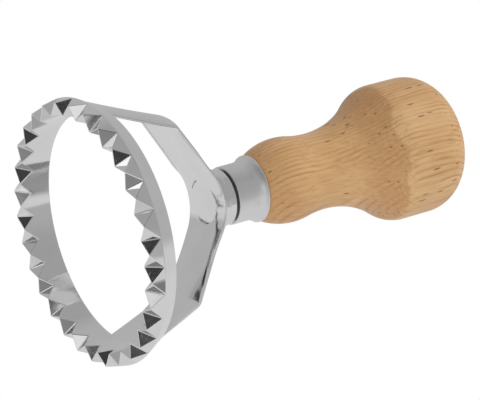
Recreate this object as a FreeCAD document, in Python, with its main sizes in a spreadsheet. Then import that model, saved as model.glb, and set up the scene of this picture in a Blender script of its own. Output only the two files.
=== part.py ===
import FreeCAD, Part
import math
import os

import Sketcher

# A round dough stamp of the ravioli cutter kind. The cutting rim stands on Z = 0, the handle points up +Z,
# and the two arms of the stirrup lie along X. All sizes are in millimetres and degrees.
SIZES = {
    # the toothed rim, cast in one with the stirrup
    "tooth_count": 30,
    "rim_widest_radius": 35.0,
    "rim_widest_height": 3.7,
    "rim_back_height": 8.4,
    "rim_back_outer_radius": 32.4,
    "rim_back_inner_radius": 30.2,
    "tip_radius": 34.35,
    "valley_radius": 31.0,
    "outer_notch_rise": 3.7,
    "inner_notch_rise": 3.3,
    "inner_notch_radius": 30.63,
    "rim_land_depth": 0.15,
    "notch_reach": 9.0,
    # the stirrup
    "leg_foot_height": 6.6,
    "leg_foot_radius": 31.0,
    "bend_radius": 23.2,
    "bend_height": 26.8,
    "crown_height": 37.4,
    "crown_arc": 15.0,
    "strap_thickness": 2.5,
    "foot_half_width": 8.8,
    "bend_half_width": 7.7,
    "arm_radius": 11.0,
    "arm_half_width": 7.2,
    "crown_half_width": 8.2,
    "trim_half_size": 40.0,
    # the collar, whose spigot is riveted in the stirrup's crown, and the stud screwed into its back
    "spigot_face_height": 37.15,
    "spigot_radius": 5.9,
    "collar_front_height": 38.6,
    "collar_radius": 7.5,
    "collar_back_height": 42.8,
    "collar_edge_round": 0.3,
    "stud_radius": 2.5,
    "stud_front_height": 39.4,
    "stud_back_height": 76.0,
    "stud_tip_chamfer": 1.2,
    # washer and ferrule
    "washer_radius": 6.8,
    "washer_back_height": 43.45,
    "ferrule_front_radius": 7.8,
    "ferrule_straight_height": 48.2,
    "ferrule_back_height": 52.1,
    "ferrule_back_radius": 9.0,
    "ferrule_lip_height": 0.45,
    "ferrule_web": 1.0,
    # the turned handle
    "tenon_radius": 6.6,
    "bulge_radius": 11.44,
    "bulge_height": 62.0,
    "bulge_arc": 17.5,
    "waist_radius": 10.37,
    "waist_arc": 28.9,
    "knob_radius": 18.72,
    "knob_shoulder_arc": 7.5,
    "knob_corner_arc": 9.3,
    "knob_end_arc": 50.0,
    "overall_height": 114.2,
}


def make_sheet(doc):
    """One row for each driving dimension, with the name in column A and the number in column B."""
    sheet = doc.addObject("Spreadsheet::Sheet", "Sizes")
    for row, (name, value) in enumerate(SIZES.items(), start=1):
        sheet.set(f"A{row}", name)
        sheet.set(f"B{row}", str(value))
        sheet.setAlias(f"B{row}", name)
    doc.recompute()
    return sheet


def make_body(doc, node):
    """A body whose Label is the node's name."""
    body = doc.addObject("PartDesign::Body", node)
    body.Label = node
    body.Placement = FreeCAD.Placement()
    return body


def origin_feature(body, role):
    """The body's own origin plane or axis with this role."""
    return next(f for f in body.Origin.OriginFeatures if f.Role == role)


def make_sketch(body, name, role):
    """An empty sketch that lies on one of the body's origin planes."""
    sketch = body.newObject("Sketcher::SketchObject", name)
    sketch.AttachmentSupport = [(origin_feature(body, role), "")]
    sketch.MapMode = "FlatFace"
    return sketch


def value_of(expression):
    """The present number of an expression over the sheet's names."""
    result = doc.Sizes.evalExpression(expression)
    return float(getattr(result, "Value", result))


def bind(sketch, kind, *where, expression):
    """A dimension driven by an expression. A negative one is measured the other way round."""
    number = value_of(expression)
    if number < 0:
        where = where[2:] + where[:2]
        number, expression = -number, f"-({expression})"
    index = sketch.addConstraint(Sketcher.Constraint(kind, *where, number))
    sketch.setExpression(f"Constraints[{index}]", expression)


def place(sketch, geometry, point, x, y):
    """Ties one point of a sketch to the sketch's origin. A zero is a point on the axis itself."""
    if value_of(x) == 0:
        sketch.addConstraint(Sketcher.Constraint("PointOnObject", geometry, point, -2))
    else:
        bind(sketch, "DistanceX", -1, 1, geometry, point, expression=x)
    if value_of(y) == 0:
        sketch.addConstraint(Sketcher.Constraint("PointOnObject", geometry, point, -1))
    else:
        bind(sketch, "DistanceY", -1, 1, geometry, point, expression=y)


def add_outline(sketch, corners):
    """A closed outline of straight lines through corners, each an (x, y) pair of expressions."""
    points = [FreeCAD.Vector(value_of(x), value_of(y), 0) for x, y in corners]
    first = sketch.GeometryCount
    for start, end in zip(points, points[1:] + points[:1]):
        sketch.addGeometry(Part.LineSegment(start, end))
    for k, (x, y) in enumerate(corners):
        before = first + (k - 1) % len(corners)
        sketch.addConstraint(Sketcher.Constraint("Coincident", before, 2, first + k, 1))
        place(sketch, first + k, 1, x, y)


def add_circle(sketch, radius):
    """A circle about the sketch's origin."""
    circle = Part.Circle(FreeCAD.Vector(0, 0, 0), FreeCAD.Vector(0, 0, 1), value_of(radius))
    index = sketch.addGeometry(circle)
    sketch.addConstraint(Sketcher.Constraint("Coincident", index, 3, -1, 1))
    constraint = sketch.addConstraint(Sketcher.Constraint("Radius", index, value_of(radius)))
    sketch.setExpression(f"Constraints[{constraint}]", radius)


def revolve(body, sketch, name):
    """Turns a sketch once round its own vertical axis."""
    feature = body.newObject("PartDesign::Revolution", name)
    feature.Profile = sketch
    feature.ReferenceAxis = (sketch, ["V_Axis"])
    feature.Angle = 360
    doc.recompute()
    return feature


def extrude(body, kind, name, sketch, length, offset=None, midplane=False, reverse=False):
    """A Pad or a Pocket of a sketch. The offset lifts the sketch off its plane."""
    if offset is not None:
        sketch.setExpression("AttachmentOffset.Base.z", offset)
    feature = body.newObject(kind, name)
    feature.Profile = sketch
    feature.SideType = "Symmetric" if midplane else "One side"
    feature.Reversed = reverse
    feature.Length = value_of(length)
    feature.setExpression("Length", length)
    doc.recompute()
    return feature


def sheet_names(*names):
    """Names of cells as expressions."""
    return [f"Sizes.{name}" for name in names]


def arc_between(centre, radius, start, stop):
    """The arc about centre that runs counter-clockwise from start to stop."""
    first = math.atan2(start.y - centre.y, start.x - centre.x)
    last = math.atan2(stop.y - centre.y, stop.x - centre.x)
    return Part.ArcOfCircle(Part.Circle(centre, FreeCAD.Vector(0, 0, 1), radius), first, last)


def add_profile(sketch, pieces):
    """A closed profile of (geometry, first point, last point, kind) whose kind says how the next joins it."""
    for geometry, _, _, _ in pieces:
        sketch.addGeometry(geometry)
    for k, (_, _, finish, kind) in enumerate(pieces):
        following = (k + 1) % len(pieces)
        sketch.addConstraint(Sketcher.Constraint(kind, k, finish, following, pieces[following][1]))


def notch(body, name, root_radius, far_radius, rise, side_radius, turn):
    """One V notch of the rim.

    Its root starts at root_radius just below the rim's face and climbs to far_radius at the height rise.
    Its two sides pass through the points of the zigzag half a tooth away, at side_radius.
    """
    half_tooth = "180 deg / Sizes.tooth_count"
    run = f"({far_radius} - {root_radius})"
    climb = f"({rise} + Sizes.rim_land_depth)"
    tilt = f"atan2({run}; {climb})"
    side_x = f"({side_radius} * cos({half_tooth}) - {root_radius})"
    across = f"({side_radius} * sin({half_tooth}))"
    slope = f"({across} / abs({side_x} * cos({tilt})))"
    sign = "1" if value_of(run) > 0 else "-1"
    sketch = make_sketch(body, f"{name}_section", "XY_Plane")
    turned = FreeCAD.Rotation(FreeCAD.Vector(0, 0, 1), value_of(turn))
    tilted = FreeCAD.Rotation(FreeCAD.Vector(0, 1, 0), value_of(tilt))
    start = FreeCAD.Vector(value_of(root_radius), 0, -value_of("Sizes.rim_land_depth"))
    sketch.AttachmentOffset = FreeCAD.Placement(turned.multVec(start), turned.multiply(tilted))
    reach = "Sizes.notch_reach"
    add_outline(
        sketch,
        [
            ("0", "0"),
            (f"{sign} * {reach}", f"{reach} * {slope}"),
            (f"{sign} * {reach}", f"-{reach} * {slope}"),
        ],
    )
    return extrude(body, "PartDesign::Pocket", name, sketch, "4 * Sizes.notch_reach", midplane=True)


def make_cutter_head():
    """The casting: a stirrup of two arms with a hub at its crown, and the toothed rim at its feet."""
    body = make_body(doc, "cutter_head")
    foot_r, foot_z, bend_r, bend_z, crown_z, crown_arc, thick = sheet_names(
        "leg_foot_radius", "leg_foot_height", "bend_radius", "bend_height", "crown_height", "crown_arc",
        "strap_thickness"
    )
    # The arm leaves the crown's arc without a corner, so its lean is that of a tangent from the bend.
    drop = f"({bend_z} - {crown_z} + {crown_arc})"
    arm_rise = f"(90 deg - atan2({bend_r}; {drop}) + acos({crown_arc} / sqrt({bend_r}^2 + {drop}^2)))"
    leg_rise = f"(atan2({foot_r} - {bend_r}; {bend_z} - {foot_z}))"
    bisector = f"(({leg_rise} + {arm_rise}) / 2)"
    reach = f"({thick} / cos(({arm_rise} - {leg_rise}) / 2))"
    outer_arc = f"({crown_arc} + {thick})"
    centre_z = f"({crown_z} - {crown_arc})"
    outer_right = [
        (f"{foot_r} + {thick} / cos({leg_rise})", foot_z),
        (f"{bend_r} + {reach} * cos({bisector})", f"{bend_z} + {reach} * sin({bisector})"),
        (f"{outer_arc} * cos({arm_rise})", f"{centre_z} + {outer_arc} * sin({arm_rise})"),
    ]
    inner_right = [
        (foot_r, foot_z),
        (bend_r, bend_z),
        (f"{crown_arc} * cos({arm_rise})", f"{centre_z} + {crown_arc} * sin({arm_rise})"),
    ]

    def mirrored(corners):
        return [(f"-({x})", z) for x, z in corners]

    corners = outer_right + mirrored(outer_right)[::-1] + mirrored(inner_right) + inner_right[::-1]
    points = [FreeCAD.Vector(value_of(x), value_of(z), 0) for x, z in corners]
    centre = FreeCAD.Vector(0, value_of(centre_z), 0)
    outer_crown, inner_crown = 2, 8
    profile = [(Part.LineSegment(p, q), 1, 2, "Coincident") for p, q in zip(points, points[1:] + points[:1])]
    profile[outer_crown] = (
        arc_between(centre, value_of(outer_arc), points[2], points[3]), 1, 2, "Coincident")
    profile[inner_crown] = (
        arc_between(centre, value_of(crown_arc), points[9], points[8]), 2, 1, "Coincident")
    side = make_sketch(body, "stirrup_side", "XZ_Plane")
    add_profile(side, profile)
    for index, (x, z) in enumerate(corners):
        place(side, index, profile[index][1], x, z)
    for index, radius in ((outer_crown, outer_arc), (inner_crown, crown_arc)):
        constraint = side.addConstraint(Sketcher.Constraint("Radius", index, value_of(radius)))
        side.setExpression(f"Constraints[{constraint}]", radius)
    extrude(body, "PartDesign::Pad", "stirrup", side, "2 * Sizes.trim_half_size", midplane=True)

    plan = make_sketch(body, "stirrup_plan", "XY_Plane")
    edge = "Sizes.trim_half_size"
    add_outline(plan, [(edge, edge), (f"-{edge}", edge), (f"-{edge}", f"-{edge}"), (edge, f"-{edge}")])
    quarter = [
        ("Sizes.rim_widest_radius", "Sizes.foot_half_width"),
        (bend_r, "Sizes.bend_half_width"),
        ("Sizes.arm_radius", "Sizes.arm_half_width"),
    ]
    upper = quarter + [("0", "Sizes.crown_half_width")] + [(f"-{x}", y) for x, y in quarter[::-1]]
    add_outline(plan, upper + [(x, f"-{y}") for x, y in upper[::-1]])
    extrude(body, "PartDesign::Pocket", "stirrup_taper", plan, "4 * Sizes.trim_half_size", midplane=True)

    seat = make_sketch(body, "collar_seat_outline", "XY_Plane")
    add_circle(seat, "Sizes.collar_radius")
    extrude(body, "PartDesign::Pocket", "collar_seat", seat, "2 * Sizes.strap_thickness",
            offset="Sizes.collar_front_height", reverse=True)
    bore = make_sketch(body, "spigot_bore_outline", "XY_Plane")
    add_circle(bore, "Sizes.spigot_radius")
    extrude(body, "PartDesign::Pocket", "spigot_bore", bore, "4 * Sizes.crown_height", midplane=True)

    rim = make_sketch(body, "rim_section", "XZ_Plane")
    add_outline(
        rim,
        [
            ("Sizes.valley_radius", "0"),
            ("Sizes.tip_radius", "0"),
            ("Sizes.rim_widest_radius", "Sizes.rim_widest_height"),
            ("Sizes.rim_back_outer_radius", "Sizes.rim_back_height"),
            ("Sizes.rim_back_inner_radius", "Sizes.rim_back_height"),
        ],
    )
    revolve(body, rim, "rim")

    outer = notch(body, "outer_notch", "Sizes.valley_radius", "Sizes.rim_widest_radius",
                  "Sizes.outer_notch_rise", "Sizes.tip_radius", "0 deg")
    inner = notch(body, "inner_notch", "Sizes.tip_radius", "Sizes.inner_notch_radius",
                  "Sizes.inner_notch_rise", "Sizes.valley_radius", "180 deg / Sizes.tooth_count")
    teeth = body.newObject("PartDesign::PolarPattern", "teeth")
    teeth.Originals = [outer, inner]
    teeth.Axis = (origin_feature(body, "Z_Axis"), [""])
    teeth.Angle = 360
    teeth.Occurrences = int(SIZES["tooth_count"])
    teeth.setExpression("Occurrences", "Sizes.tooth_count")
    body.Tip = teeth
    doc.recompute()
    return body


def make_turned(node, corners):
    """A plain turned piece: one outline revolved round Z."""
    body = make_body(doc, node)
    section = make_sketch(body, f"{node}_section", "XZ_Plane")
    add_outline(section, corners)
    revolve(body, section, f"{node}_turned")
    return body


def make_collar():
    """The plated collar: a short round bush with a spigot in front and a blind hole for the stud behind."""
    face, shoulder, back = sheet_names("spigot_face_height", "collar_front_height", "collar_back_height")
    body = make_turned(
        "collar",
        [
            ("0", face),
            ("Sizes.spigot_radius", face),
            ("Sizes.spigot_radius", shoulder),
            ("Sizes.collar_radius", shoulder),
            ("Sizes.collar_radius", back),
            ("Sizes.stud_radius", back),
            ("Sizes.stud_radius", "Sizes.stud_front_height"),
            ("0", "Sizes.stud_front_height"),
        ],
    )
    turned = body.Tip
    rim = next(
        f"Edge{k}"
        for k, e in enumerate(turned.Shape.Edges, start=1)
        if hasattr(e.Curve, "Radius")
        and abs(e.Curve.Radius - SIZES["collar_radius"]) < 1e-6
        and abs(e.Curve.Center.z - SIZES["collar_back_height"]) < 1e-6
    )
    rounded = body.newObject("PartDesign::Fillet", "collar_round")
    rounded.Base = (turned, [rim])
    rounded.Radius = SIZES["collar_edge_round"]
    rounded.setExpression("Radius", "Sizes.collar_edge_round")
    body.Tip = rounded
    doc.recompute()
    return body


def make_stud():
    """The hidden stud from the collar into the handle's wood."""
    front, back = sheet_names("stud_front_height", "stud_back_height")
    radius, chamfer = "Sizes.stud_radius", "Sizes.stud_tip_chamfer"
    return make_turned(
        "stud",
        [
            ("0", front),
            (radius, front),
            (radius, f"{back} - {chamfer}"),
            (f"{radius} - {chamfer}", back),
            ("0", back),
        ],
    )


def make_washer():
    """The thin dark washer in the groove between the collar and the ferrule."""
    low, high = "Sizes.collar_back_height", "Sizes.washer_back_height"
    return make_turned(
        "washer",
        [
            ("Sizes.stud_radius", low),
            ("Sizes.washer_radius", low),
            ("Sizes.washer_radius", high),
            ("Sizes.stud_radius", high),
        ],
    )


def make_ferrule():
    """The ferrule: a plated cap with a web in front, flaring to a lip where the wood begins."""
    front, back = value_of("Sizes.washer_back_height"), value_of("Sizes.ferrule_back_height")
    small, large = value_of("Sizes.ferrule_front_radius"), value_of("Sizes.ferrule_back_radius")
    neck = value_of("Sizes.ferrule_straight_height")
    lip = back - value_of("Sizes.ferrule_lip_height")
    web = front + value_of("Sizes.ferrule_web")
    bore, tenon = value_of("Sizes.stud_radius"), value_of("Sizes.tenon_radius")
    # The flare leaves the neck without a corner, so its centre is level with the top of the neck.
    flare = ((large - small) ** 2 + (lip - neck) ** 2) / (2 * (large - small))
    centre = FreeCAD.Vector(small + flare, neck, 0)
    corners = [
        FreeCAD.Vector(x, y, 0)
        for x, y in ((bore, front), (small, front), (small, neck), (large, lip),
                     (large, back), (tenon, back), (tenon, web), (bore, web))
    ]
    line = Part.LineSegment
    profile = [
        (line(corners[0], corners[1]), 1, 2, "Coincident"),
        (line(corners[1], corners[2]), 1, 2, "Coincident"),
        (arc_between(centre, flare, corners[3], corners[2]), 2, 1, "Coincident"),
        (line(corners[3], corners[4]), 1, 2, "Coincident"),
        (line(corners[4], corners[5]), 1, 2, "Coincident"),
        (line(corners[5], corners[6]), 1, 2, "Coincident"),
        (line(corners[6], corners[7]), 1, 2, "Coincident"),
        (line(corners[7], corners[0]), 1, 2, "Coincident"),
    ]
    body = make_body(doc, "ferrule")
    sketch = make_sketch(body, "ferrule_section", "XZ_Plane")
    add_profile(sketch, profile)
    web_height = "Sizes.washer_back_height + Sizes.ferrule_web"
    place(sketch, 0, 1, "Sizes.stud_radius", "Sizes.washer_back_height")
    place(sketch, 1, 1, "Sizes.ferrule_front_radius", "Sizes.washer_back_height")
    place(sketch, 1, 2, "Sizes.ferrule_front_radius", "Sizes.ferrule_straight_height")
    bind(sketch, "DistanceY", -1, 1, 2, 3, expression="Sizes.ferrule_straight_height")
    place(sketch, 3, 1, "Sizes.ferrule_back_radius", "Sizes.ferrule_back_height - Sizes.ferrule_lip_height")
    place(sketch, 4, 1, "Sizes.ferrule_back_radius", "Sizes.ferrule_back_height")
    place(sketch, 5, 1, "Sizes.tenon_radius", "Sizes.ferrule_back_height")
    place(sketch, 6, 1, "Sizes.tenon_radius", web_height)
    place(sketch, 7, 1, "Sizes.stud_radius", web_height)
    revolve(body, sketch, "ferrule_turned")
    return body


def make_handle():
    """The turned wooden handle.

    A tenon fills the ferrule. Above it come a bulge, a waist and a knob, each a tangent arc of the last,
    and a slightly crowned end. The stud's blind hole runs up its middle.
    """
    v = {name: value_of(f"Sizes.{name}") for name in SIZES}
    web = v["washer_back_height"] + v["ferrule_web"]
    seat = v["ferrule_back_height"]
    bulge = FreeCAD.Vector(v["bulge_radius"] - v["bulge_arc"], v["bulge_height"], 0)
    # Two tangent arcs on opposite sides have centres as far apart as their radii together.
    waist_x = v["waist_radius"] + v["waist_arc"]
    gap = v["bulge_arc"] + v["waist_arc"]
    waist = FreeCAD.Vector(waist_x, bulge.y + math.sqrt(gap ** 2 - (waist_x - bulge.x) ** 2), 0)
    shoulder_x = v["knob_radius"] - v["knob_shoulder_arc"]
    gap = v["waist_arc"] + v["knob_shoulder_arc"]
    shoulder = FreeCAD.Vector(shoulder_x, waist.y + math.sqrt(gap ** 2 - (waist_x - shoulder_x) ** 2), 0)
    # The corner arc lies inside the end arc, whose centre is on the axis.
    end = FreeCAD.Vector(0, v["overall_height"] - v["knob_end_arc"], 0)
    corner_x = v["knob_radius"] - v["knob_corner_arc"]
    gap = v["knob_end_arc"] - v["knob_corner_arc"]
    corner = FreeCAD.Vector(corner_x, end.y + math.sqrt(gap ** 2 - corner_x ** 2), 0)

    def towards(centre, other, radius):
        return centre.add(other.sub(centre).normalize().multiply(radius))

    foot = FreeCAD.Vector(bulge.x + math.sqrt(v["bulge_arc"] ** 2 - (seat - bulge.y) ** 2), seat, 0)
    bulge_waist = towards(bulge, waist, v["bulge_arc"])
    waist_knob = towards(waist, shoulder, v["waist_arc"])
    knob_low = FreeCAD.Vector(v["knob_radius"], shoulder.y, 0)
    knob_high = FreeCAD.Vector(v["knob_radius"], corner.y, 0)
    knob_end = towards(end, corner, v["knob_end_arc"])
    top = FreeCAD.Vector(0, v["overall_height"], 0)
    low = FreeCAD.Vector(0, web, 0)
    tenon_low = FreeCAD.Vector(v["tenon_radius"], web, 0)
    tenon_high = FreeCAD.Vector(v["tenon_radius"], seat, 0)
    profile = [
        (Part.LineSegment(low, tenon_low), 1, 2, "Coincident"),
        (Part.LineSegment(tenon_low, tenon_high), 1, 2, "Coincident"),
        (Part.LineSegment(tenon_high, foot), 1, 2, "Coincident"),
        (arc_between(bulge, v["bulge_arc"], foot, bulge_waist), 1, 2, "Tangent"),
        (arc_between(waist, v["waist_arc"], waist_knob, bulge_waist), 2, 1, "Tangent"),
        (arc_between(shoulder, v["knob_shoulder_arc"], waist_knob, knob_low), 1, 2, "Tangent"),
        (Part.LineSegment(knob_low, knob_high), 1, 2, "Tangent"),
        (arc_between(corner, v["knob_corner_arc"], knob_high, knob_end), 1, 2, "Tangent"),
        (arc_between(end, v["knob_end_arc"], knob_end, top), 1, 2, "Coincident"),
        (Part.LineSegment(top, low), 1, 2, "Coincident"),
    ]
    body = make_body(doc, "handle")
    sketch = make_sketch(body, "handle_section", "XZ_Plane")
    add_profile(sketch, profile)
    web_height = "Sizes.washer_back_height + Sizes.ferrule_web"
    place(sketch, 0, 1, "0", web_height)
    place(sketch, 1, 1, "Sizes.tenon_radius", web_height)
    place(sketch, 2, 1, "Sizes.tenon_radius", "Sizes.ferrule_back_height")
    bind(sketch, "DistanceY", -1, 1, 3, 1, expression="Sizes.ferrule_back_height")
    place(sketch, 3, 3, "Sizes.bulge_radius - Sizes.bulge_arc", "Sizes.bulge_height")
    bind(sketch, "DistanceX", -1, 1, 4, 3, expression="Sizes.waist_radius + Sizes.waist_arc")
    bind(sketch, "DistanceX", -1, 1, 5, 3, expression="Sizes.knob_radius - Sizes.knob_shoulder_arc")
    bind(sketch, "DistanceX", -1, 1, 7, 3, expression="Sizes.knob_radius - Sizes.knob_corner_arc")
    place(sketch, 8, 3, "0", "Sizes.overall_height - Sizes.knob_end_arc")
    sketch.addConstraint(Sketcher.Constraint("PointOnObject", 8, 2, -2))
    for index, name in ((3, "bulge_arc"), (4, "waist_arc"), (5, "knob_shoulder_arc"),
                        (7, "knob_corner_arc"), (8, "knob_end_arc")):
        constraint = sketch.addConstraint(Sketcher.Constraint("Radius", index, v[name]))
        sketch.setExpression(f"Constraints[{constraint}]", f"Sizes.{name}")
    revolve(body, sketch, "handle_turned")
    hole = make_sketch(body, "stud_hole_outline", "XY_Plane")
    add_circle(hole, "Sizes.stud_radius")
    extrude(body, "PartDesign::Pocket", "stud_hole", hole, "Sizes.stud_back_height",
            offset="Sizes.stud_back_height")
    return body


def check(doc, bodies):
    """Stops if anything in the document failed or a piece has no sound solid."""
    for thing in doc.Objects:
        if {"Invalid", "Error"} & set(thing.State):
            raise RuntimeError(f"{thing.Name} is {thing.State}")
    for body in bodies:
        shape = body.Shape
        if shape.isNull() or not shape.isValid() or len(shape.Solids) != 1:
            raise RuntimeError(f"{body.Label} is not one valid solid")


doc = FreeCAD.newDocument("dough_stamp")
make_sheet(doc)
pieces = [make_cutter_head(), make_collar(), make_stud(), make_washer(), make_ferrule(), make_handle()]
doc.recompute()
check(doc, pieces)
os.makedirs("parts", exist_ok=True)
for piece in pieces:
    piece.Shape.exportStep(f"parts/{piece.Label}.step")
    box = piece.Shape.BoundBox
    print(f"{piece.Label}: {piece.Shape.Volume:.1f} mm3, {len(piece.Shape.Faces)} faces, "
          f"z {box.ZMin:.2f} to {box.ZMax:.2f}, x {box.XMin:.2f} to {box.XMax:.2f}")
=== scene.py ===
import math

import bpy
import numpy as np
from mathutils import Matrix, Vector


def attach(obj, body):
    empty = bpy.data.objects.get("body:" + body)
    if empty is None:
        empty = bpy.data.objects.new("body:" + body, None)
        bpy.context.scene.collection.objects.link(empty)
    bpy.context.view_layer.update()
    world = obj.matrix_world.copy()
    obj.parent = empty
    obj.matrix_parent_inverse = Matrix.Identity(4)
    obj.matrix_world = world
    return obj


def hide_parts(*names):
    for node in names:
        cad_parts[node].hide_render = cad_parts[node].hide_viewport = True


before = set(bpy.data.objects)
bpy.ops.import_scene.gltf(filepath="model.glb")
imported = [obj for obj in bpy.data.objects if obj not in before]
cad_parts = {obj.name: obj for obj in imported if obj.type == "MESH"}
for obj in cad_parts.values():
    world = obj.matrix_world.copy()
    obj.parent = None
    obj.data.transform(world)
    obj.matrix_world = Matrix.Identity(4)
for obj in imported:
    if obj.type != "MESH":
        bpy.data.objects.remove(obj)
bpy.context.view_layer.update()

mm = 0.001


# The toothed rim.
# It is the lower part of the bright plated zinc casting: a ring with thirty teeth whose zigzag edge cuts
# and crimps the dough. Every tooth has two flat facets outside and two inside, cast sharp and then polished.

tooth_count = 30
arc_steps = 6
widest_radius, widest_height = 35.0 * mm, 3.7 * mm
back_outer_radius, back_inner_radius, back_height = 32.4 * mm, 30.2 * mm, 8.4 * mm
tip_radius, valley_radius = 34.33 * mm, 31.0 * mm
ridge_height = -0.03 * mm
inner_root_radius, inner_root_height = 30.63 * mm, 3.3 * mm
rim_edge_round = 0.20 * mm
casting_drift = 0.14 * mm


def level_ring(radius, height, angles):
    """Points of a level circle: radius times the cosine and the sine of each angle, all at one height."""
    return np.stack([radius * np.cos(angles), radius * np.sin(angles), np.full_like(angles, height)], axis=1)


def mesh_piece(name, points, faces):
    """A smooth-shaded object at the origin from an array of points and a list of faces, facing outwards."""
    mesh = bpy.data.meshes.new(name)
    mesh.from_pydata(points.tolist(), [], faces)
    mesh.update()
    piece = bpy.data.objects.new(name, mesh)
    bpy.context.scene.collection.objects.link(piece)
    bpy.context.view_layer.objects.active = piece
    piece.select_set(True)
    bpy.ops.object.mode_set(mode="EDIT")
    bpy.ops.mesh.select_all(action="SELECT")
    bpy.ops.mesh.normals_make_consistent(inside=False)
    bpy.ops.object.mode_set(mode="OBJECT")
    piece.select_set(False)
    mesh.polygons.foreach_set("use_smooth", np.ones(len(mesh.polygons), bool))
    return piece


def rim_surface():
    """The ring of teeth.

    Three level circles bound the outside and the back. The inner wall's lower edge runs in straight lines
    from each valley of the zigzag up to the end of the inner notch and down to the next valley. The tips
    of the zigzag lie half a tooth further on, and flat facets join tips, valleys and the ends of the notches.
    Valleys, tips and notch ends each stray a little from their even places, as they do in a casting.
    """
    drift = np.random.default_rng(11)
    count = tooth_count * arc_steps
    step = np.arange(count)
    pitch = 2 * math.pi / tooth_count
    around = step * pitch / arc_steps
    tooth, phase = step // arc_steps, (step % arc_steps) / (arc_steps / 2)
    valley_angles = np.arange(tooth_count + 1) * pitch
    valleys = level_ring(valley_radius, ridge_height, valley_angles[:-1])
    valleys[:, :2] += drift.uniform(-1, 1, (tooth_count, 2)) * casting_drift
    valleys = np.concatenate([valleys, valleys[:1]])
    notch_ends = level_ring(inner_root_radius, inner_root_height, valley_angles[:-1] + pitch / 2)
    notch_ends += drift.uniform(-1, 1, (tooth_count, 3)) * casting_drift * (0.3, 0.3, 1.6)
    tip_points = level_ring(tip_radius, ridge_height, valley_angles[:-1] + pitch / 2)
    tip_points[:, :2] += drift.uniform(-1, 1, (tooth_count, 2)) * casting_drift
    rising = (1 - phase)[:, None] * valleys[tooth] + phase[:, None] * notch_ends[tooth]
    falling = (2 - phase)[:, None] * notch_ends[tooth] + (phase - 1)[:, None] * valleys[tooth + 1]
    lower_edge = np.where(phase[:, None] <= 1, rising, falling)
    points = np.concatenate([
        level_ring(widest_radius, widest_height, around),
        level_ring(back_outer_radius, back_height, around),
        level_ring(back_inner_radius, back_height, around),
        lower_edge,
        tip_points,
    ])
    following = (step + 1) % count
    bands = [
        np.stack([a * count + step, a * count + following, b * count + following, b * count + step], axis=1)
        for a, b in ((0, 1), (1, 2), (2, 3))
    ]
    tips = 4 * count + np.arange(tooth_count)
    tooth_faces = np.stack([tips[tooth], step, following], axis=1)
    first = np.arange(tooth_count) * arc_steps
    wall = 3 * count
    outer_facets = np.concatenate([
        np.stack([wall + first, tips, first], axis=1),
        np.stack([wall + first, first, np.roll(tips, 1)], axis=1),
    ])
    half = arc_steps // 2
    low_run = (first[:, None] + np.arange(half + 1)) % count + wall
    high_run = (first[:, None] + half + np.arange(half + 1)) % count + wall
    inner_facets = np.concatenate([
        np.concatenate([tips[:, None], low_run], axis=1),
        np.concatenate([tips[:, None], high_run], axis=1),
    ])
    faces = [f for group in (*bands, tooth_faces, outer_facets, inner_facets) for f in group.tolist()]
    return points, faces


rim = mesh_piece("toothed_rim", *rim_surface())
rounding = rim.modifiers.new("cast_edges", "BEVEL")
rounding.width = rim_edge_round
rounding.segments = 3
rounding.limit_method = "ANGLE"
rounding.angle_limit = math.radians(18)
rounding.harden_normals = True


def add_node(tree, kind, settings=None, **inputs):
    """A shader node with its settings and its inputs, each input a number, a colour or a socket to link."""
    node = tree.nodes.new("ShaderNode" + kind)
    for name, value in (settings or {}).items():
        setattr(node, name, value)
    for name, value in inputs.items():
        key = int(name[1:]) if name[0] == "i" and name[1:].isdigit() else name.replace("_", " ")
        if isinstance(value, bpy.types.NodeSocket):
            tree.links.new(value, node.inputs[key])
        else:
            node.inputs[key].default_value = value
    return node


def spread(tree, value, low, high, to_low, to_high):
    """Maps value from low..high to to_low..to_high with soft ends."""
    node = add_node(tree, "MapRange", {"interpolation_type": "SMOOTHSTEP"}, Value=value,
                    From_Min=low, From_Max=high, To_Min=to_low, To_Max=to_high)
    return node.outputs["Result"]


def calc(tree, operation, *values):
    """One step of arithmetic on numbers or sockets."""
    node = add_node(tree, "Math", {"operation": operation}, **{f"i{k}": v for k, v in enumerate(values)})
    return node.outputs[0]


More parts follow.
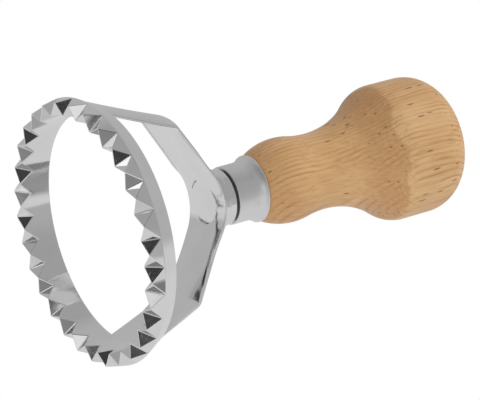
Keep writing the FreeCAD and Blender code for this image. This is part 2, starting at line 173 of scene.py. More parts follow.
def plating_group():
    """The worn finish, partly painted shade and glint, that all the plated pieces share.

    Clouds of soft noise dull the polish in patches, fine grain and sparse pits roughen it, convex edges are
    worn a little brighter by rubbing and also carry a painted glint, and dirt together with painted shade
    darkens the tight inner corners.
    """
    tree = bpy.data.node_groups.new("handled_plating_with_painted_light", "ShaderNodeTree")
    for name, value in (("Cloud Scale", 90.0), ("Wave", 0.5), ("Edge Size", 0.0004), ("Dullness", 0.05),
                        ("Satin", 0.05)):
        tree.interface.new_socket(name, in_out="INPUT", socket_type="NodeSocketFloat").default_value = value
    tree.interface.new_socket("Tint", in_out="OUTPUT", socket_type="NodeSocketColor")
    tree.interface.new_socket("Roughness", in_out="OUTPUT", socket_type="NodeSocketFloat")
    tree.interface.new_socket("Height", in_out="OUTPUT", socket_type="NodeSocketFloat")
    given = tree.nodes.new("NodeGroupInput").outputs
    where = add_node(tree, "TexCoord").outputs["Object"]
    clouds = add_node(tree, "TexNoise", Vector=where, Scale=given["Cloud Scale"], Detail=3.0).outputs["Fac"]
    grain = add_node(tree, "TexNoise", Vector=where, Scale=2600.0, Detail=2.0).outputs["Fac"]
    waves = add_node(tree, "TexNoise", Vector=where, Scale=210.0, Detail=1.0).outputs["Fac"]
    pits = add_node(tree, "TexVoronoi", {"feature": "F1"}, Vector=where, Scale=700.0).outputs["Distance"]
    pit = spread(tree, pits, 0.05, 0.13, 1.0, 0.0)
    scratch_way = add_node(tree, "Mapping", Vector=where, Rotation=(0.5, 0.9, 0.3), Scale=(1.0, 14.0, 1.0))
    scratch = add_node(tree, "TexNoise", Vector=scratch_way.outputs[0], Scale=420.0, Detail=4.0)
    hairline = spread(tree, scratch.outputs["Fac"], 0.66, 0.74, 0.0, 1.0)
    softened = add_node(tree, "Bevel", {"samples": 6}, Radius=given["Edge Size"]).outputs[0]
    plain = add_node(tree, "NewGeometry").outputs["Normal"]
    turn = add_node(tree, "VectorMath", {"operation": "DOT_PRODUCT"}, i0=softened, i1=plain).outputs["Value"]
    edge = spread(tree, turn, 0.985, 0.90, 0.0, 1.0)
    # Painted shade: the tint darkens towards dark grey-brown in tight inner corners that ambient occlusion
    # finds sheltered, together with dirt there.
    shelter = add_node(tree, "AmbientOcclusion", {"only_local": True, "samples": 8}, Distance=0.0016)
    grime_and_shade = spread(tree, shelter.outputs["AO"], 0.20, 0.70, 0.32, 0.0)
    patchy_grime_and_shade = calc(tree, "MULTIPLY", grime_and_shade, spread(tree, clouds, 0.35, 0.65, 0.4, 1.0))
    base = add_node(tree, "Mix", {"data_type": "RGBA"}, i0=spread(tree, clouds, 0.3, 0.7, 0.0, 1.0),
                    i6=(0.80, 0.80, 0.805, 1), i7=(0.85, 0.85, 0.85, 1)).outputs[2]
    # Painted glint: convex edges get a paler tint, partly real rubbing and partly standing in for the bright
    # glints along them.
    rubbed_and_glint = add_node(tree, "Mix", {"data_type": "RGBA"}, i0=edge, i6=base,
                      i7=(0.94, 0.94, 0.93, 1)).outputs[2]
    tint_with_grime_and_shade = add_node(tree, "Mix", {"data_type": "RGBA"}, i0=patchy_grime_and_shade, i6=rubbed_and_glint,
                     i7=(0.16, 0.15, 0.14, 1)).outputs[2]
    cloudy = spread(tree, clouds, 0.35, 0.75, 0.0, 1.0)
    dull = calc(tree, "MULTIPLY_ADD", cloudy, given["Dullness"], given["Satin"])
    dull = calc(tree, "MULTIPLY_ADD", edge, 0.10, dull)
    dull = calc(tree, "MULTIPLY_ADD", hairline, 0.12, dull)
    dull = calc(tree, "MULTIPLY_ADD", patchy_grime_and_shade, 0.35, dull)
    height = calc(tree, "MULTIPLY", waves, given["Wave"])
    height = calc(tree, "MULTIPLY_ADD", grain, 0.010, height)
    height = calc(tree, "MULTIPLY_ADD", pit, -0.03, height)
    height = calc(tree, "MULTIPLY_ADD", hairline, -0.02, height)
    result = tree.nodes.new("NodeGroupOutput").inputs
    for name, value in (("Tint", tint_with_grime_and_shade), ("Roughness", dull), ("Height", height)):
        tree.links.new(value, result[name])
    return tree


plating = plating_group()


def plated_material(name, turning_marks, **values):
    """Bright plating. Turned pieces also carry the lathe's fine rings, a wave along the axis."""
    material = bpy.data.materials.new(name)
    material.use_nodes = True
    tree = material.node_tree
    shader = tree.nodes["Principled BSDF"]
    shader.inputs["Metallic"].default_value = 1.0
    # The group's tint carries painted shade in tight corners and painted glints along convex edges.
    wear_and_painted_light = add_node(tree, "Group", {"node_tree": plating}, **values).outputs
    tree.links.new(wear_and_painted_light["Tint"], shader.inputs["Base Color"])
    tree.links.new(wear_and_painted_light["Roughness"], shader.inputs["Roughness"])
    height = wear_and_painted_light["Height"]
    if turning_marks:
        where = add_node(tree, "TexCoord").outputs["Object"]
        rings = add_node(tree, "TexWave", {"wave_type": "BANDS", "bands_direction": "Z"}, Vector=where,
                         Scale=1500.0, Distortion=1.2, Detail=2.0, Detail_Scale=0.4).outputs["Fac"]
        height = calc(tree, "MULTIPLY_ADD", rings, turning_marks, height)
    bump = add_node(tree, "Bump", Height=height, Strength=0.35, Distance=0.0001)
    tree.links.new(bump.outputs[0], shader.inputs["Normal"])
    return material


casting_finish = plated_material("plated_casting", 0.0, Cloud_Scale=90.0, Wave=0.55, Edge_Size=0.00035,
                                 Dullness=0.05)
rim.data.materials.append(casting_finish)
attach(rim, "root")


# The stirrup.
# Two arms and the crown between them, cast in one piece with the rim: a strap that is flat inside, crowned
# outside and thin along its edges. A crease runs slantwise along the inside of each arm from the crown.

leg_foot_radius, leg_foot_height, leg_buried_height = 31.0 * mm, 6.6 * mm, 4.6 * mm
bend_radius, bend_height, bend_round = 23.2 * mm, 26.8 * mm, 1.8 * mm
crown_height, crown_arc = 37.4 * mm, 15.0 * mm
strap_thickness, strap_side = 2.5 * mm, 0.75 * mm
crease_slope = 0.115
edge_strip = 0.45 * mm
strap_lean = 0.45 * mm
spigot_face_height = 37.15 * mm


def strap_line():
    """The inside line of the stirrup in the X-Z plane, from the +X foot over the crown to the -X foot.

    Straight runs join arcs that they are tangent to. Each point comes with the angle of the strap's
    outward direction, which stays the same along a run and turns along an arc.
    """
    crown_centre = np.array([0.0, crown_height - crown_arc])
    corner = np.array([bend_radius, bend_height])
    foot = np.array([leg_foot_radius, leg_foot_height])
    leg_angle = math.atan2(leg_foot_radius - bend_radius, bend_height - leg_foot_height)
    across, rise = corner - crown_centre
    reach = math.hypot(across, rise)
    arm_angle = math.atan2(rise, across) + math.acos(crown_arc / reach)
    half_turn = (arm_angle - leg_angle) / 2
    middle = (arm_angle + leg_angle) / 2
    bend_centre = corner - bend_round / math.cos(half_turn) * np.array([math.cos(middle), math.sin(middle)])

    def arc(centre, radius, first, last, count):
        angles = np.linspace(first, last, count)
        return centre + radius * np.stack([np.cos(angles), np.sin(angles)], axis=1), angles

    def run(start, end, angle, count):
        share = np.linspace(0, 1, count + 2)[1:-1, None]
        return start + share * (end - start), np.full(count, angle)

    bend, bend_angles = arc(bend_centre, bend_round, leg_angle, arm_angle, 15)
    crown, crown_angles = arc(crown_centre, crown_arc, arm_angle, math.pi / 2, 24)
    start = foot + (foot - bend[0]) / (bend[0][1] - foot[1]) * (leg_foot_height - leg_buried_height)
    leg, leg_angles = run(start, bend[0], leg_angle, 26)
    arm, arm_angles = run(bend[-1], crown[0], arm_angle, 36)
    half = np.concatenate([start[None], leg, bend, arm, crown])
    angles = np.concatenate([[leg_angle], leg_angles, bend_angles, arm_angles, crown_angles])
    line = np.concatenate([half, (half[:-1] * (-1, 1))[::-1]])
    return line, np.concatenate([angles, math.pi - angles[:-1][::-1]])


def even(values, reach):
    """A running mean over reach neighbours on each side, which takes the corners off a broken line."""
    padded = np.pad(values, reach, mode="edge")
    return np.convolve(padded, np.full(2 * reach + 1, 1 / (2 * reach + 1)), mode="valid")


def strap_surface():
    """The strap: a closed section carried along the inside line.

    The section lies across the line. Inside it is flat between two creases and then rises slightly
    towards each edge, has a narrow side, and a back whose thickness falls with the square of the distance
    from the middle. Each corner is a short quadratic curve between points on its two sides. The casting
    leans towards -X by half a sine wave over its height.
    """
    line, angles = strap_line()
    x = line[:, 0]
    width = even(np.interp(np.abs(x), np.array([0, 5, 11, 23, 35]) * mm,
                           np.array([9.2, 8.9, 8.3, 8.7, 9.7]) * mm), 4)
    widest = width - edge_strip
    near = np.interp(x, np.array([-21, -19, -7, 0, 7, 15, 22.5]) * mm,
                     np.array([8.2, 8.0, 6.2, 4.5, 1.8, 3.0, 8.0]) * mm)
    far = np.interp(x, np.array([-22.5, -15, -7, 0, 5, 9, 11]) * mm,
                    np.array([6.6, 1.6, -0.6, 3.4, 6.0, 8.2, 8.2]) * mm)
    near, far = np.minimum(even(near, 3), widest), np.minimum(even(far, 3), widest)
    near_rise, far_rise = (crease_slope * (width - crease) for crease in (near, far))
    zero = np.zeros_like(x)
    thickness = strap_thickness * np.interp(np.abs(x), np.array([0, 8, 15]) * mm, np.array([0.76, 0.88, 1.0]))
    corners = [
        (zero, near, 1.0 * mm),
        (near_rise, width, 0.28 * mm),
        (near_rise + strap_side, width, 0.5 * mm),
        (far_rise + strap_side, -width, 0.5 * mm),
        (far_rise, -width, 0.28 * mm),
        (zero, -far, 1.6 * mm),
    ]
    spots = [np.stack([rise, side], axis=1) for rise, side, _ in corners]
    blend = np.linspace(0, 1, 6)[:, None, None]
    loop = []
    for k, (_, _, size) in enumerate(corners):
        here, before, after = spots[k], spots[k - 1], spots[(k + 1) % len(spots)]
        to_before = (before - here) / np.linalg.norm(before - here, axis=1, keepdims=True)
        to_after = (after - here) / np.linalg.norm(after - here, axis=1, keepdims=True)
        ends = here + size * to_before, here + size * to_after
        curve = (1 - blend) ** 2 * ends[0] + 2 * blend * (1 - blend) * here + blend ** 2 * ends[1]
        loop.extend(curve)
        following = (after + corners[(k + 1) % len(corners)][2] * -to_after) - ends[1]
        shares = (0.06, 0.3, 0.5, 0.7, 0.94) if k != 2 else np.linspace(0.02, 0.98, 25)
        for share in shares:
            spot = ends[1] + share * following
            if k == 2:
                bulge = 1 - (spot[:, 1] / width) ** 2
                level = thickness - spot[:, 0]
                spot = spot + np.stack([level * bulge, zero], axis=1)
            loop.append(spot)
    loop = np.stack(loop, axis=1)
    out = np.stack([np.cos(angles), np.sin(angles)], axis=1)
    points = np.empty(loop.shape[:2] + (3,))
    points[..., 0] = x[:, None] + loop[..., 0] * out[:, :1]
    points[..., 1] = loop[..., 1]
    points[..., 2] = line[:, 1:] + loop[..., 0] * out[:, 1:]
    share = np.clip(points[..., 2] / crown_height, 0, 1)
    points[..., 0] -= strap_lean * np.sin(math.pi * share)
    rows, columns = loop.shape[:2]
    grid = np.arange(rows * columns).reshape(rows, columns)
    turned = np.roll(grid, -1, axis=1)
    quads = np.stack([grid[:-1], grid[1:], turned[1:], turned[:-1]], axis=-1).reshape(-1, 4)
    return points.reshape(-1, 3), quads.tolist() + [grid[0].tolist(), grid[-1][::-1].tolist()]


stirrup = mesh_piece("stirrup", *strap_surface())


def turned_surface(profile, steps=192):
    """A turned piece: a profile of radius and height pairs carried once round Z.

    The profile starts and ends on the axis.
    """
    angles = np.arange(steps) * 2 * math.pi / steps
    middle = profile[1:-1]
    rings = np.stack([
        middle[:, :1] * np.cos(angles),
        middle[:, :1] * np.sin(angles),
        np.repeat(middle[:, 1:], steps, axis=1),
    ], axis=-1)
    rows = len(middle)
    grid = np.arange(rows * steps).reshape(rows, steps)
    following = np.roll(grid, -1, axis=1)
    quads = np.stack([grid[:-1], following[:-1], following[1:], grid[1:]], axis=-1).reshape(-1, 4)
    low, high = rows * steps, rows * steps + 1
    first = np.stack([np.full(steps, low), following[0], grid[0]], axis=1)
    last = np.stack([np.full(steps, high), grid[-1], following[-1]], axis=1)
    poles = np.array([[0, 0, profile[0, 1]], [0, 0, profile[-1, 1]]])
    return np.concatenate([rings.reshape(-1, 3), poles]), quads.tolist() + first.tolist() + last.tolist()


bore_radius, bore_start, bore_end = 5.85 * mm, 30.0 * mm, 45.0 * mm
bore_outline = np.array([[0, bore_start], [bore_radius, bore_start], [bore_radius, bore_end], [0, bore_end]])
bore_tool = mesh_piece("bore_tool", *turned_surface(bore_outline))
bore = stirrup.modifiers.new("spigot_bore", "BOOLEAN")
bore.operation = "DIFFERENCE"
bore.solver = "EXACT"
bore.object = bore_tool
bpy.context.view_layer.update()
cut = bpy.data.meshes.new_from_object(stirrup.evaluated_get(bpy.context.evaluated_depsgraph_get()))
stirrup.modifiers.remove(bore)
stirrup.data = cut
cut.name = "stirrup"
bpy.data.objects.remove(bore_tool)
cut.set_sharp_from_angle(angle=math.radians(35))
cut.materials.clear()
cut.materials.append(casting_finish)
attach(stirrup, "root")
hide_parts("cutter_head")
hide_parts("cutter_head")


# The collar.
# A short turned bush, plated like the casting. Its spigot fills the crown's bore and shows as a flat disc on
# the inside, and the steel stud is screwed into its back.

collar_radius, collar_front_height, collar_back_height = 7.5 * mm, 38.6 * mm, 42.8 * mm
spigot_radius, spigot_round = 5.83 * mm, 0.22 * mm
collar_round, collar_foot_radius = 0.35 * mm, 8.1 * mm
foot_curve, foot_height = 0.9 * mm, 2.4 * mm


def arc_points(centre_radius, centre_height, size, first, last, count=8):
    """Profile points on an arc about a centre, from one angle to another in degrees."""
    angles = np.radians(np.linspace(first, last, count))
    return np.stack([centre_radius + size * np.cos(angles), centre_height + size * np.sin(angles)], axis=1)


def profile_of(*parts):
    """Joins single points and runs of points to one profile."""
    return np.concatenate([np.atleast_2d(part) for part in parts])


def line_points(start, end, count):
    """Profile points evenly spaced between two points, without the two themselves."""
    share = np.linspace(0, 1, count + 2)[1:-1, None]
    return np.array(start) + share * (np.array(end) - np.array(start))


collar_profile = profile_of(
    (0, spigot_face_height),
    line_points((0, spigot_face_height), (spigot_radius - spigot_round, spigot_face_height), 6),
    arc_points(spigot_radius - spigot_round, spigot_face_height + spigot_round, spigot_round, -90, 0),
    (spigot_radius, collar_front_height),
    (collar_foot_radius, collar_front_height),
    arc_points(collar_radius + foot_curve, collar_front_height + foot_height, foot_curve, 250, 180),
    line_points((collar_radius, collar_front_height + foot_height),
                (collar_radius, collar_back_height - collar_round), 6),
    arc_points(collar_radius - collar_round, collar_back_height - collar_round, collar_round, 0, 90),
    (0, collar_back_height),
)
collar = mesh_piece("turned_collar", *turned_surface(collar_profile))
collar.data.set_sharp_from_angle(angle=math.radians(40))
turned_finish = plated_material("plated_collar", 0.012, Cloud_Scale=70.0, Wave=0.25, Edge_Size=0.0003,
                                Dullness=0.04)
collar.data.materials.append(turned_finish)
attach(collar, "root")
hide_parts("collar")


# The stud.
# A plain steel pin hidden in the collar and the wood. It keeps its own shape and gets a dull steel finish.

stud_steel = bpy.data.materials.new("steel_stud")
stud_steel.use_nodes = True
steel_tree = stud_steel.node_tree
steel = steel_tree.nodes["Principled BSDF"]
steel.inputs["Metallic"].default_value = 1.0
stud_place = add_node(steel_tree, "TexCoord").outputs["Object"]
stud_noise = add_node(steel_tree, "TexNoise", Vector=stud_place, Scale=400.0, Detail=4.0).outputs["Fac"]
stud_tint = add_node(steel_tree, "Mix", {"data_type": "RGBA"}, i0=stud_noise, i6=(0.36, 0.35, 0.34, 1),
                     i7=(0.52, 0.52, 0.53, 1)).outputs[2]
steel_tree.links.new(stud_tint, steel.inputs["Base Color"])
steel_tree.links.new(spread(steel_tree, stud_noise, 0.3, 0.7, 0.3, 0.5), steel.inputs["Roughness"])
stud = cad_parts["stud"]
stud.data.materials.clear()
stud.data.materials.append(stud_steel)


# The washer.
# A thin dark ring in the groove between the collar and the ferrule, blackened and dull. Its near-black
# tint is partly painted shade, standing in for the shade that lies in that groove.

washer_radius, washer_back_height, washer_round = 6.8 * mm, 43.45 * mm, 0.15 * mm
washer_profile = profile_of(
    (0, collar_back_height),
    (washer_radius - washer_round, collar_back_height),
    arc_points(washer_radius - washer_round, collar_back_height + washer_round, washer_round, -90, 0, 4),
    arc_points(washer_radius - washer_round, washer_back_height - washer_round, washer_round, 0, 90, 4),
    (0, washer_back_height),
)
washer = mesh_piece("dark_washer", *turned_surface(washer_profile))
washer_finish = bpy.data.materials.new("dark_washer")
washer_finish.use_nodes = True
washer_tree = washer_finish.node_tree
washer_shader = washer_tree.nodes["Principled BSDF"]
washer_place = add_node(washer_tree, "TexCoord").outputs["Object"]
washer_noise = add_node(washer_tree, "TexNoise", Vector=washer_place, Scale=900.0,
                        Detail=5.0).outputs["Fac"]
# Painted shade: the near-black tint also stands in for the shade in the groove.
washer_tint_and_groove_shade = add_node(washer_tree, "Mix", {"data_type": "RGBA"}, i0=washer_noise,
                       i6=(0.035, 0.035, 0.036, 1), i7=(0.12, 0.12, 0.122, 1)).outputs[2]
washer_tree.links.new(washer_tint_and_groove_shade, washer_shader.inputs["Base Color"])
washer_rough = spread(washer_tree, washer_noise, 0.3, 0.7, 0.35, 0.6)
washer_tree.links.new(washer_rough, washer_shader.inputs["Roughness"])
washer_bump = add_node(washer_tree, "Bump", Height=washer_noise, Strength=0.3, Distance=0.00005)
washer_tree.links.new(washer_bump.outputs[0], washer_shader.inputs["Normal"])
washer.data.materials.append(washer_finish)
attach(washer, "root")
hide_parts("washer")


# The ferrule.
# A turned and plated cap over the wood's tenon. It is straight in front and flares in one arc to a thin lip.

ferrule_front_radius, ferrule_straight_height = 7.8 * mm, 48.2 * mm
ferrule_back_radius, ferrule_back_height, ferrule_lip = 9.0 * mm, 52.1 * mm, 0.45 * mm
ferrule_round = 0.3 * mm
flare_reach = ferrule_back_radius - ferrule_front_radius
flare_rise = ferrule_back_height - ferrule_lip - ferrule_straight_height
flare_arc = (flare_reach ** 2 + flare_rise ** 2) / (2 * flare_reach)
flare_turn = math.degrees(math.asin(flare_rise / flare_arc))
lip_round = ferrule_lip / 2
ferrule_profile = profile_of(
    (0, washer_back_height),
    (ferrule_front_radius - ferrule_round, washer_back_height),
    arc_points(ferrule_front_radius - ferrule_round, washer_back_height + ferrule_round, ferrule_round,
               -90, 0),
    line_points((ferrule_front_radius, washer_back_height + ferrule_round),
                (ferrule_front_radius, ferrule_straight_height), 8),
    arc_points(ferrule_front_radius + flare_arc, ferrule_straight_height, flare_arc,
               180, 180 - flare_turn, 24),
    arc_points(ferrule_back_radius - lip_round, ferrule_back_height - lip_round, lip_round, -30, 90, 9),
    (0, ferrule_back_height),
)
ferrule = mesh_piece("flared_ferrule", *turned_surface(ferrule_profile))
ferrule.data.set_sharp_from_angle(angle=math.radians(40))
ferrule_finish = plated_material("plated_ferrule", 0.003, Cloud_Scale=60.0, Wave=0.03, Edge_Size=0.0003,
                                 Dullness=0.06, Satin=0.34)
ferrule.data.materials.append(ferrule_finish)
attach(ferrule, "root")
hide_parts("ferrule")


# The handle.
# One turned piece of steamed beech with the grain along its length: a bulge behind the ferrule, a waist and
# a round knob for the palm, sanded fine and sealed with a thin satin lacquer.

bulge_radius, bulge_height, bulge_arc = 11.44 * mm, 62.0 * mm, 17.5 * mm
waist_radius, waist_arc = 10.37 * mm, 28.9 * mm
knob_radius, shoulder_arc, corner_arc, end_arc = 18.72 * mm, 7.5 * mm, 9.3 * mm, 50.0 * mm
overall_height = 114.2 * mm
shoulder_dark = (0.083, 0.092, 0.0972, 0.0985)


def handle_profile():
    """The handle's outline.

    Each arc leaves the last without a corner, so two arcs that bend opposite ways have centres as far
    apart as their radii together, and the corner arc lies inside the end arc, whose centre is on the axis.
    """
    bulge = np.array([bulge_radius - bulge_arc, bulge_height])
    waist_x = waist_radius + waist_arc
    span = bulge_arc + waist_arc
    waist = np.array([waist_x, bulge[1] + math.sqrt(span ** 2 - (waist_x - bulge[0]) ** 2)])
    shoulder_x = knob_radius - shoulder_arc
    gap = waist_arc + shoulder_arc
    shoulder = np.array([shoulder_x, waist[1] + math.sqrt(gap ** 2 - (waist_x - shoulder_x) ** 2)])
    end = np.array([0.0, overall_height - end_arc])
    corner_x = knob_radius - corner_arc
    corner = np.array([corner_x, end[1] + math.sqrt((end_arc - corner_arc) ** 2 - corner_x ** 2)])

    def heading(start, finish):
        return math.degrees(math.atan2(finish[1] - start[1], finish[0] - start[0]))

    foot = math.degrees(math.asin((ferrule_back_height - bulge[1]) / bulge_arc))
    lift = heading(bulge, waist)
    dip = heading(waist, shoulder) % 360
    tip = heading(end, corner)
    seat = bulge + bulge_arc * np.array([math.cos(math.radians(foot)), math.sin(math.radians(foot))])
    return profile_of(
        (0, seat[1]),
        line_points((0, seat[1]), (seat[0], seat[1]), 4),
        arc_points(*bulge, bulge_arc, foot, lift, 44),
        arc_points(*waist, waist_arc, lift + 180, dip, 60)[1:],
        arc_points(*shoulder, shoulder_arc, dip - 180, 0, 32)[1:],
        line_points((knob_radius, shoulder[1]), (knob_radius, corner[1]), 6),
        arc_points(*corner, corner_arc, 0, tip, 40),
        arc_points(*end, end_arc, tip, 90, 26)[1:],
    )


handle = mesh_piece("beech_handle", *turned_surface(handle_profile(), 224))


def beech_material():
    """Beech under satin lacquer.

    Growth rings are cylinders round a pith that runs beside the handle, bent by slow noise, so they show as
    long curves on its sides. Fibres are noise drawn out along the grain, and the short dark flecks of beech
    are longer than wide and sparse.
    """
    rings_per_metre = 820.0
    material = bpy.data.materials.new("beech")
    material.use_nodes = True
    tree = material.node_tree
    shader = tree.nodes["Principled BSDF"]
    where = add_node(tree, "TexCoord").outputs["Object"]
    sway = add_node(tree, "TexNoise", Vector=where, Scale=22.0, Detail=2.0).outputs["Color"]
    sway = add_node(tree, "VectorMath", {"operation": "SUBTRACT"}, i0=sway, i1=(0.5, 0.5, 0.5)).outputs[0]
    sway = add_node(tree, "VectorMath", {"operation": "MULTIPLY"}, i0=sway, i1=(0.007, 0.007, 0.0)).outputs[0]
    bent = add_node(tree, "VectorMath", {"operation": "ADD"}, i0=where, i1=sway).outputs[0]
    pith = add_node(tree, "Mapping", {"vector_type": "POINT"}, Vector=bent, Location=(-0.036, 0.027, 0.0),
                    Rotation=(0.05, -0.06, 0.0)).outputs[0]
    flat = add_node(tree, "VectorMath", {"operation": "MULTIPLY"}, i0=pith, i1=(1.0, 1.0, 0.0)).outputs[0]
    distance = add_node(tree, "VectorMath", {"operation": "LENGTH"}, i0=flat).outputs["Value"]
    rings = calc(tree, "FRACT", calc(tree, "MULTIPLY", distance, rings_per_metre))
    late_wood = spread(tree, rings, 0.45, 0.93, 0.0, 1.0)
    early_wood = spread(tree, rings, 0.93, 1.0, 1.0, 0.0)
    broad = add_node(tree, "Mapping", Vector=where, Scale=(1.0, 1.0, 0.22)).outputs[0]
    tone = add_node(tree, "TexNoise", Vector=broad, Scale=85.0, Detail=3.0, Roughness=0.55).outputs["Fac"]
    strength = add_node(tree, "TexNoise", Vector=broad, Scale=210.0, Detail=2.0).outputs["Fac"]
    ring = calc(tree, "MULTIPLY", late_wood, early_wood)
    ring = calc(tree, "MULTIPLY", ring, spread(tree, strength, 0.38, 0.66, 0.15, 1.0))
    along = add_node(tree, "Mapping", Vector=bent, Scale=(1.0, 1.0, 0.06)).outputs[0]
    fibre = add_node(tree, "TexNoise", Vector=along, Scale=1500.0, Detail=5.0, Roughness=0.62).outputs["Fac"]
    pores = add_node(tree, "TexNoise", Vector=along, Scale=5200.0, Detail=2.0).outputs["Fac"]
    fleck_way = add_node(tree, "Mapping", Vector=bent, Scale=(1.0, 1.0, 0.17)).outputs[0]
    fleck_cell = add_node(tree, "TexVoronoi", {"feature": "F1"}, Vector=fleck_way, Scale=620.0,
                          Randomness=1.0)
    fleck = spread(tree, fleck_cell.outputs["Distance"], 0.08, 0.18, 1.0, 0.0)
    chosen = add_node(tree, "SeparateColor", Color=fleck_cell.outputs["Color"]).outputs[0]
    fleck = calc(tree, "MULTIPLY", fleck, spread(tree, chosen, 0.22, 0.60, 0.0, 1.0))
    # Darker in two bands by height: round the flare under the knob, and from the ferrule up over the bulge.
    shift = calc(tree, "MULTIPLY_ADD", tone, 0.012, add_node(tree, "SeparateXYZ", Vector=where).outputs[2])
    slope_start = spread(tree, shift, shoulder_dark[0], shoulder_dark[1], 0.0, 1.0)
    slope_end = spread(tree, shift, shoulder_dark[2], shoulder_dark[3], 1.0, 0.0)
    height_bands = calc(tree, "MULTIPLY", slope_start, slope_end)
    height_bands = calc(tree, "ADD", height_bands, spread(tree, shift, 0.058, 0.069, 0.7, 0.0))
    streak_way = add_node(tree, "Mapping", Vector=bent, Scale=(1.0, 1.0, 0.05)).outputs[0]
    streak = add_node(tree, "TexNoise", Vector=streak_way, Scale=1500.0, Detail=3.0,
                      Roughness=0.5).outputs["Fac"]
    pale, honey, brown, dark = ((0.86, 0.55, 0.275, 1), (0.77, 0.455, 0.205, 1), (0.50, 0.235, 0.085, 1),
                                (0.20, 0.085, 0.03, 1))

    def mixed(amount, one, other):
        return add_node(tree, "Mix", {"data_type": "RGBA"}, i0=amount, i6=one, i7=other).outputs[2]

    colour = mixed(spread(tree, tone, 0.33, 0.68, 0.0, 1.0), honey, pale)
    colour = mixed(calc(tree, "MULTIPLY", ring, 0.70), colour, brown)
    colour = mixed(calc(tree, "MULTIPLY", height_bands, 0.46), colour, brown)
    colour = mixed(spread(tree, streak, 0.50, 0.70, 0.0, 0.33), colour, brown)
    colour = mixed(spread(tree, fibre, 0.50, 0.74, 0.0, 0.42), colour, brown)
    colour = mixed(spread(tree, fibre, 0.48, 0.28, 0.0, 0.4), colour, pale)
    colour = mixed(calc(tree, "MULTIPLY", fleck, 0.84), colour, dark)
    # Painted shade: the wood darkens towards dark brown where ambient occlusion finds it sheltered, as next
    # to the ferrule.
    shelter = add_node(tree, "AmbientOcclusion", {"samples": 6}, Distance=0.0025).outputs["AO"]
    colour = mixed(spread(tree, shelter, 0.35, 0.9, 0.45, 0.0), colour, dark)
    tree.links.new(colour, shader.inputs["Base Color"])
    rough = calc(tree, "MULTIPLY_ADD", fibre, 0.16, 0.34)
    rough = calc(tree, "MULTIPLY_ADD", fleck, 0.15, rough)
    tree.links.new(rough, shader.inputs["Roughness"])
    shader.inputs["Specular IOR Level"].default_value = 0.3
    shader.inputs["Coat Weight"].default_value = 0.08
    shader.inputs["Coat Roughness"].default_value = 0.25
    height = calc(tree, "MULTIPLY", fibre, 0.5)
    height = calc(tree, "MULTIPLY_ADD", pores, 0.35, height)
    height = calc(tree, "MULTIPLY_ADD", fleck, -0.5, height)
    bump = add_node(tree, "Bump", Height=height, Strength=0.35, Distance=0.00008)
    tree.links.new(bump.outputs[0], shader.inputs["Normal"])
    return material


handle.data.materials.append(beech_material())
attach(handle, "root")
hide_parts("handle")


# The camera.
# It looks up at the rim from below and beside the stamp, so that the handle lies across the view.

camera_place = Vector((158.05, 566.71, -294.44)) * mm
camera_forward = Vector((-0.2354, -0.8318, 0.5028)).normalized()
camera_right = camera_forward.cross(Vector((0.9639, -0.1334, 0.2305))).normalized()
camera_up = camera_right.cross(camera_forward)
lens = bpy.data.cameras.new("camera")
lens.lens, lens.sensor_width, lens.shift_y = 195.2, 36.0, 0.0012
lens.clip_start, lens.clip_end = 0.05, 20.0
camera = bpy.data.objects.new("camera", lens)
bpy.context.scene.collection.objects.link(camera)
camera.matrix_world = Matrix.Translation(camera_place) @ Matrix(
    (camera_right, camera_up, -camera_forward)).transposed().to_4x4()
bpy.context.scene.camera = camera
bpy.context.scene.view_settings.view_transform = "Standard"


# The floor.
# A pale table top just under the rim. It shows only from above: seen from below it lets the view through,
# and it takes no part in reflections.

floor_half, floor_drop = 1.5, 0.0002
floor_corners = np.array([(-1, -1), (1, -1), (1, 1), (-1, 1)]) * floor_half
floor_mesh = bpy.data.meshes.new("floor")
floor_mesh.from_pydata([(x, y, -floor_drop) for x, y in floor_corners], [], [(0, 1, 2, 3)])
floor = bpy.data.objects.new("floor", floor_mesh)
bpy.context.scene.collection.objects.link(floor)
pale_top = bpy.data.materials.new("pale_table")
pale_top.use_nodes = True
floor_tree = pale_top.node_tree
table = floor_tree.nodes["Principled BSDF"]
floor_place = add_node(floor_tree, "TexCoord").outputs["Object"]
floor_noise = add_node(floor_tree, "TexNoise", Vector=floor_place, Scale=9.0, Detail=4.0).outputs["Fac"]
floor_tint = add_node(floor_tree, "Mix", {"data_type": "RGBA"}, i0=floor_noise, i6=(0.80, 0.80, 0.79, 1),
                      i7=(0.84, 0.84, 0.83, 1)).outputs[2]
floor_tree.links.new(floor_tint, table.inputs["Base Color"])
table.inputs["Roughness"].default_value = 0.6
seen = add_node(floor_tree, "LightPath").outputs["Is Camera Ray"]
underside = add_node(floor_tree, "NewGeometry").outputs["Backfacing"]
shown = calc(floor_tree, "MULTIPLY", seen, calc(floor_tree, "SUBTRACT", 1.0, underside))
clear = add_node(floor_tree, "BsdfTransparent").outputs[0]
either = add_node(floor_tree, "MixShader", i0=shown, i1=clear, i2=table.outputs[0])
floor_tree.links.new(either.outputs[0], floor_tree.nodes["Material Output"].inputs["Surface"])
floor_mesh.materials.append(pale_top)


# The studio.
# White paper all round, pale below and grey above. A bench of dark and pale things to the left of the camera
# gives the bright plating its streaks, and five round cards its highlights and darks. One broad lamp hangs
# over the table and draws a soft shadow, and a weaker one beside the camera lights the wood.

studio = bpy.data.worlds.new("studio")
bpy.context.scene.world = studio
studio.use_nodes = True
sky = studio.node_tree
sky_output = sky.nodes["Background"]
heading = add_node(sky, "TexCoord").outputs["Generated"]


def towards(right, up, back):
    """A direction given by its parts to the right, up and back towards the camera."""
    return (camera_right * right + camera_up * up - camera_forward * back).normalized()


def part_along(direction):
    """How far the looked-at direction leans along another one."""
    lean = add_node(sky, "VectorMath", {"operation": "DOT_PRODUCT"}, i0=heading, i1=direction)
    return lean.outputs["Value"]


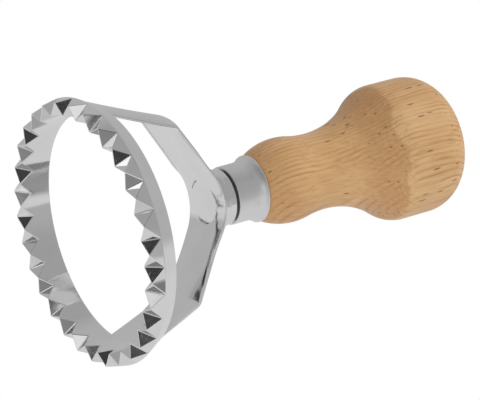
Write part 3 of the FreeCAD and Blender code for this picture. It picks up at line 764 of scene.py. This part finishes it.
def shade(below, amount, grey):
    """Lays a grey over what is there already."""
    return add_node(sky, "Mix", {"data_type": "FLOAT"}, i0=amount, i2=below, i3=grey).outputs[0]


def card(below, direction, inner, outer, grey):
    """A round card: full inside the inner angle and gone outside the outer one, both in degrees."""
    lean = part_along(towards(*direction))
    inside = spread(sky, lean, math.cos(math.radians(outer)), math.cos(math.radians(inner)), 0.0, 1.0)
    return shade(below, inside, grey)


upward = part_along(camera_up)
backward = part_along(-camera_forward)
pale_below, grey_middle, grey_above = 0.70, 0.46, 0.40
light = spread(sky, upward, -0.43, -0.35, pale_below, grey_middle)
light = shade(light, spread(sky, upward, -0.25, 0.10, 0.0, 1.0), grey_above)
paper_behind = spread(sky, upward, -0.04, 0.08, 0.69, 0.49)
light = shade(light, spread(sky, backward, 0.05, -0.25, 0.0, 1.0), paper_behind)

things = add_node(sky, "TexVoronoi", {"feature": "F1"}, Vector=heading, Scale=5.5).outputs["Color"]
things = add_node(sky, "SeparateColor", Color=things).outputs[0]
dark_thing, grey_thing, pale_gain = 0.045, 0.26, 0.62
dark_things = spread(sky, things, 0.42, 0.48, dark_thing, grey_thing)
pale_things = spread(sky, things, 0.76, 0.80, 0.0, pale_gain)
beside = spread(sky, part_along(camera_right), -0.16, -0.06, 1.0, 0.0)
in_front = calc(sky, "MULTIPLY", spread(sky, backward, 0.30, 0.45, 0.0, 1.0), beside)
light = shade(light, in_front, calc(sky, "ADD", dark_things, pale_things))

low_flag = (0.7, -0.7, 0.3), 4, 9, 0.20
high_flag = (0.4, 0.8, 0.4), 4, 9, 0.12
front_card = (0.1, -0.1, 1.0), 5, 12, 1.1
left_card = (-0.7, -0.4, 0.6), 10, 22, 1.1
left_window = (-0.8, 0.4, 0.4), 7, 14, 1.4
for placed in (low_flag, high_flag, front_card, left_card, left_window):
    light = card(light, *placed)
room = add_node(sky, "CombineColor", i0=light, i1=light, i2=calc(sky, "MULTIPLY", light, 1.01)).outputs[0]
first_sight = add_node(sky, "LightPath").outputs["Is Camera Ray"]
paper = add_node(sky, "Mix", {"data_type": "RGBA"}, i0=first_sight, i6=room, i7=(1, 1, 1, 1)).outputs[2]
sky.links.new(paper, sky_output.inputs["Color"])
sky_output.inputs["Strength"].default_value = 1.0

lamp_aim = Vector((0.0, 0.0, 0.06))


def disc_lamp(name, place, size, energy):
    """A round lamp turned to the middle of the stamp, which the plating doesn't mirror."""
    data = bpy.data.lights.new(name, "AREA")
    data.shape, data.size, data.energy = "DISK", size, energy
    lamp = bpy.data.objects.new(name, data)
    bpy.context.scene.collection.objects.link(lamp)
    lamp.location = place
    lamp.rotation_euler = (lamp_aim - lamp.location).to_track_quat("-Z", "Y").to_euler()
    lamp.visible_glossy = False


disc_lamp("overhead", Vector((0.75, 0.25, 1.25)), 0.9, 8.0)
disc_lamp("beside_camera", camera_place * 1.3 - camera_up * 0.12 + camera_right * 0.1, 0.7, 2.1)

bpy.context.view_layer.update()
